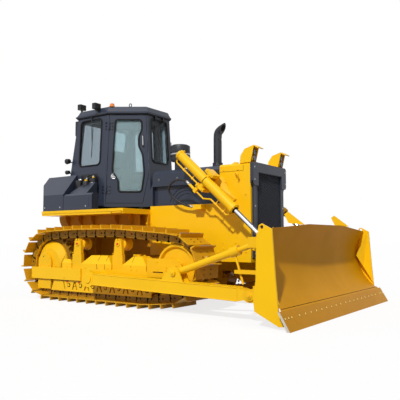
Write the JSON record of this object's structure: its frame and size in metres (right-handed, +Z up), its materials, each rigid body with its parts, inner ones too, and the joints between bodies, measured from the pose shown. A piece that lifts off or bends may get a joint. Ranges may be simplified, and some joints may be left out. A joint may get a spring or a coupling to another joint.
{
  "type": "bulldozer",
  "caption": "Crawler bulldozer with a straight blade on push arms, lift cylinders, screw and tilt braces and an enclosed cab with hinged doors.",
  "frame": {"origin": "on the ground below the middle of the overall length and width", "axes": "+X forward, +Y to the machine's left, +Z up"},
  "size_m": [5.14, 3.388, 3.236],
  "materials": {
    "yellow_paint": "gloss",
    "grey_paint": "satin",
    "track_steel": "satin",
    "dark_steel": "satin",
    "chrome": "polished",
    "glass": "polished",
    "fabric": "matte",
    "rubber": "matte",
    "amber_lens": "gloss"
  },
  "bodies": {
    "chassis": {"track_right": "track_steel", "track_left": "track_steel", "sprockets": "track_steel", "final_drives": "yellow_paint", "outer_bearings": "yellow_paint", "track_frame_right": "yellow_paint", "track_frame_left": "yellow_paint", "roller_guards": "yellow_paint", "track_rollers": "track_steel", "idlers": "track_steel", "idler_yokes": "yellow_paint", "carrier_rollers": "track_steel", "equalizer_bar": "yellow_paint", "main_frame": "yellow_paint", "rear_case": "yellow_paint", "engine": "dark_steel", "hood": "grey_paint", "side_panels": "yellow_paint", "radiator_guard": "yellow_paint", "grille": "grey_paint", "exhaust": "dark_steel", "precleaner": "dark_steel", "cab_floor": "grey_paint", "cab_front": "grey_paint", "cab_side_right": "grey_paint", "cab_side_left": "grey_paint", "cab_rear": "grey_paint", "cab_roof": "grey_paint", "cab_glass": "glass", "seat": "fabric", "console": "dark_steel", "deck": "yellow_paint", "deck_supports": "yellow_paint", "fuel_tank": "grey_paint", "side_boxes": "grey_paint", "lift_yokes": "yellow_paint", "lamp_brackets": "yellow_paint", "hose_right": "rubber", "hose_left": "rubber", "work_lamps": "dark_steel", "beacon": "amber_lens"},
    "push_frame": {"push_arms": "yellow_paint"},
    "blade": {"moldboard": "yellow_paint", "end_plates": "yellow_paint", "cutting_edge": "track_steel", "blade_back": "yellow_paint", "blade_fins": "yellow_paint"},
    "brace_tube": {"brace_tube": "yellow_paint"},
    "brace_screw": {"brace_screw": "chrome"},
    "tilt_barrel": {"tilt_barrel": "yellow_paint"},
    "tilt_rod": {"tilt_rod": "chrome"},
    "lift_barrel_right": {"lift_barrel_right": "yellow_paint"},
    "lift_barrel_left": {"lift_barrel_left": "yellow_paint"},
    "lift_rod_right": {"lift_rod_right": "chrome"},
    "lift_rod_left": {"lift_rod_left": "chrome"},
    "door_right": {"door_right": "grey_paint", "door_glass_right": "glass"},
    "door_left": {"door_left": "grey_paint", "door_glass_left": "glass"}
  },
  "joints": [
    {"name": "blade_lift", "type": "hinge", "parent": "chassis", "child": "push_frame", "pos_m": [-0.77, 0, 0.385], "axis": [0, -1, 0], "range_deg": [-9.4, 18.8]},
    {"name": "blade_pitch", "type": "hinge", "parent": "push_frame", "child": "blade", "pos_m": [1.933, 0, 0.305], "axis": [0, 1, 0], "range_deg": [-5, 5]},
    {"name": "brace_swing", "type": "hinge", "parent": "push_frame", "child": "brace_tube", "pos_m": [0.791, -1.29, 0.527], "axis": [0, 1, 0], "range_deg": [-0.73, 0.73]},
    {"name": "brace_slide", "type": "slide", "parent": "brace_tube", "child": "brace_screw", "axis": [0.9519, 0, 0.3064], "range_m": [-0.04897, 0.04897]},
    {"name": "tilt_swing", "type": "hinge", "parent": "push_frame", "child": "tilt_barrel", "pos_m": [0.791, 1.29, 0.527], "axis": [0, 1, 0], "range_deg": [-0.73, 0.73]},
    {"name": "tilt_slide", "type": "slide", "parent": "tilt_barrel", "child": "tilt_rod", "axis": [0.9519, 0, 0.3064], "range_m": [-0.04897, 0.04897]},
    {"name": "lift_right_swing", "type": "hinge", "parent": "chassis", "child": "lift_barrel_right", "pos_m": [0.854, -0.727, 1.755], "axis": [0, -1, 0], "range_deg": [-13.3, 26.6], "deforming": ["hose_right"]},
    {"name": "lift_right_slide", "type": "slide", "parent": "lift_barrel_right", "child": "lift_rod_right", "axis": [0.7441, 0, -0.6681], "range_m": [-0.65064, 0.32532]},
    {"name": "lift_left_swing", "type": "hinge", "parent": "chassis", "child": "lift_barrel_left", "pos_m": [0.854, 0.727, 1.755], "axis": [0, -1, 0], "range_deg": [-13.3, 26.6], "deforming": ["hose_left"]},
    {"name": "lift_left_slide", "type": "slide", "parent": "lift_barrel_left", "child": "lift_rod_left", "axis": [0.7441, 0, -0.6681], "range_m": [-0.65064, 0.32532]},
    {"name": "door_right_hinge", "type": "hinge", "parent": "chassis", "child": "door_right", "pos_m": [-1.08827, -0.69136, 2.1], "axis": [-0.0019, -0.0506, -0.9987], "range_deg": [0, 90]},
    {"name": "door_left_hinge", "type": "hinge", "parent": "chassis", "child": "door_left", "pos_m": [-1.08827, 0.69136, 2.1], "axis": [0.0019, -0.0506, 0.9987], "range_deg": [0, 90]}
  ],
  "couplings": [
    {"joint": "brace_swing", "follows": "blade_pitch", "ratio": 0.14684},
    {"joint": "brace_slide", "follows": "blade_pitch", "m_per_rad": 0.5611},
    {"joint": "tilt_swing", "follows": "blade_pitch", "ratio": 0.14684},
    {"joint": "tilt_slide", "follows": "blade_pitch", "m_per_rad": 0.5611},
    {"joint": "lift_right_swing", "follows": "blade_lift", "ratio": 1.4145},
    {"joint": "lift_right_slide", "follows": "blade_lift", "m_per_rad": -1.9827},
    {"joint": "lift_left_swing", "follows": "blade_lift", "ratio": 1.4145},
    {"joint": "lift_left_slide", "follows": "blade_lift", "m_per_rad": -1.9827}
  ]
}
